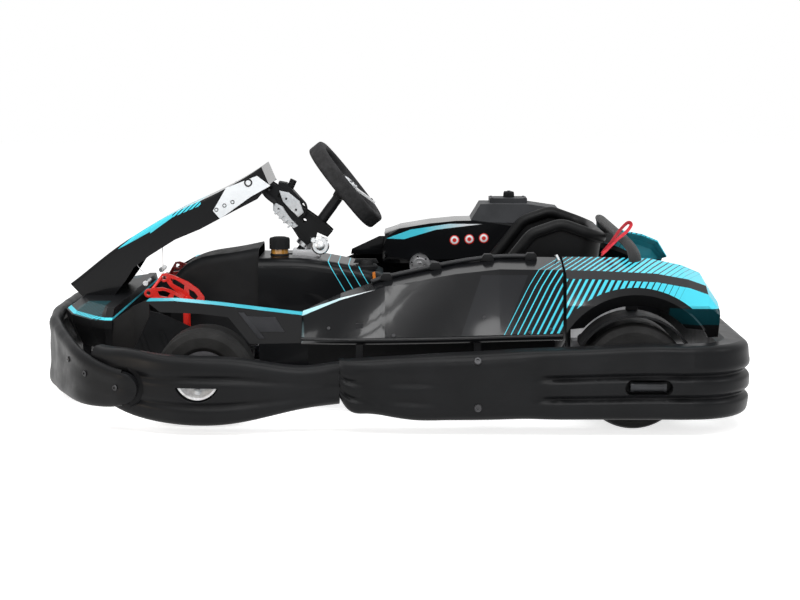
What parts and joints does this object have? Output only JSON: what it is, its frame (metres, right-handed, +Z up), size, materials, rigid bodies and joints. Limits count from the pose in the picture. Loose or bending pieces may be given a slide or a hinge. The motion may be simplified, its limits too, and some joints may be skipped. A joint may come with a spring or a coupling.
{
  "type": "racing kart",
  "caption": "Low rental racing kart: tube frame inside a moulded guard ring, side engine, bucket seat, steered front wheels and a live rear axle.",
  "frame": {"origin": "on the ground under the middle of the overall length and width", "axes": "+X to the front of the kart, +Y to the driver's left, +Z up"},
  "size_m": [1.9142, 1.3802, 0.7222],
  "materials": {
    "frame_paint": "satin",
    "gloss_black": "gloss",
    "matte_black": "matte",
    "moulded_black": "satin",
    "tyre_rubber": "matte",
    "rim_metal": "satin",
    "steel": "satin",
    "red_paint": "satin",
    "white_plastic": "satin",
    "grip": "matte",
    "sleeve": "matte",
    "engine_metal": "satin",
    "amber": "gloss",
    "lamp_chrome": "gloss",
    "lamp_grey": "gloss"
  },
  "bodies": {
    "kart": {"side_rail_left": "frame_paint", "side_rail_right": "frame_paint", "cross_tubes": "frame_paint", "guard_bars": "frame_paint", "floor_tray": "engine_metal", "king_pin_yokes": "frame_paint", "bearing_carriers": "engine_metal", "brake_caliper": "engine_metal", "column_bearings": "steel", "steering_arm": "matte_black", "rear_guard_left": "moulded_black", "rear_guard_right": "moulded_black", "front_pod_left": "moulded_black", "front_pod_right": "moulded_black", "front_bumper": "matte_black", "nose_cone": "gloss_black", "nose_shrouds": "matte_black", "footwell_panels": "matte_black", "front_arch": "gloss_black", "arch_plates": "white_plastic", "centre_console": "matte_black", "fuel_tank": "gloss_black", "filler_cap": "amber", "pedals": "red_paint", "front_fin_left": "gloss_black", "front_fin_right": "gloss_black", "side_fairing_left": "gloss_black", "side_fairing_right": "gloss_black", "rear_fairing_left": "gloss_black", "rear_fairing_right": "gloss_black", "mudguards": "matte_black", "fairing_mounts": "frame_paint", "seat": "matte_black", "seat_stays": "frame_paint", "rear_hoop": "sleeve", "engine_block": "engine_metal", "engine_mount": "engine_metal", "engine_cover": "gloss_black", "air_box": "matte_black", "engine_end_cap": "steel", "head_lamps": "lamp_chrome", "tail_lamps": "lamp_grey"},
    "steering": {"steering_column": "frame_paint", "steering_wheel": "grip"},
    "knuckle_left_body": {"knuckle_left": "steel"},
    "knuckle_right_body": {"knuckle_right": "steel"},
    "front_wheel_left": {"front_tyre_left": "tyre_rubber", "front_rim_left": "rim_metal"},
    "front_wheel_right": {"front_tyre_right": "tyre_rubber", "front_rim_right": "rim_metal"},
    "tie_rod_left_body": {"tie_rod_left": "steel"},
    "tie_rod_right_body": {"tie_rod_right": "steel"},
    "rear_axle_body": {"rear_axle": "steel", "rear_tyre_left": "tyre_rubber", "rear_tyre_right": "tyre_rubber", "rear_rim_left": "rim_metal", "rear_rim_right": "rim_metal"}
  },
  "joints": [
    {"name": "steering_turn", "type": "hinge", "parent": "kart", "child": "steering", "pos_m": [0.154, 0, 0.552], "axis": [-0.592, 0, 0.8059], "range_deg": [-60, 60]},
    {"name": "rear_axle_spin", "type": "hinge", "parent": "kart", "child": "rear_axle_body", "pos_m": [-0.647, 0, 0.14], "axis": [0, 1, 0], "continuous": true},
    {"name": "knuckle_left_turn", "type": "hinge", "parent": "kart", "child": "knuckle_left_body", "pos_m": [0.478, 0.4, 0.13], "axis": [0, 0, 1], "range_deg": [-27, 27]},
    {"name": "front_wheel_left_spin", "type": "hinge", "parent": "knuckle_left_body", "child": "front_wheel_left", "pos_m": [0.478, 0.498, 0.13], "axis": [0, 1, 0], "continuous": true},
    {"name": "tie_rod_left_turn", "type": "hinge", "parent": "knuckle_left_body", "child": "tie_rod_left_body", "pos_m": [0.378, 0.4, 0.113], "axis": [0, 0, 1], "range_deg": [-27, 27]},
    {"name": "knuckle_right_turn", "type": "hinge", "parent": "kart", "child": "knuckle_right_body", "pos_m": [0.478, -0.4, 0.13], "axis": [0, 0, 1], "range_deg": [-27, 27]},
    {"name": "front_wheel_right_spin", "type": "hinge", "parent": "knuckle_right_body", "child": "front_wheel_right", "pos_m": [0.478, -0.498, 0.13], "axis": [0, 1, 0], "continuous": true},
    {"name": "tie_rod_right_turn", "type": "hinge", "parent": "knuckle_right_body", "child": "tie_rod_right_body", "pos_m": [0.378, -0.4, 0.113], "axis": [0, 0, 1], "range_deg": [-27, 27]}
  ],
  "couplings": [
    {"joint": "knuckle_left_turn", "follows": "steering_turn", "ratio": 0.45},
    {"joint": "tie_rod_left_turn", "follows": "steering_turn", "ratio": -0.45},
    {"joint": "knuckle_right_turn", "follows": "steering_turn", "ratio": 0.45},
    {"joint": "tie_rod_right_turn", "follows": "steering_turn", "ratio": -0.45}
  ]
}
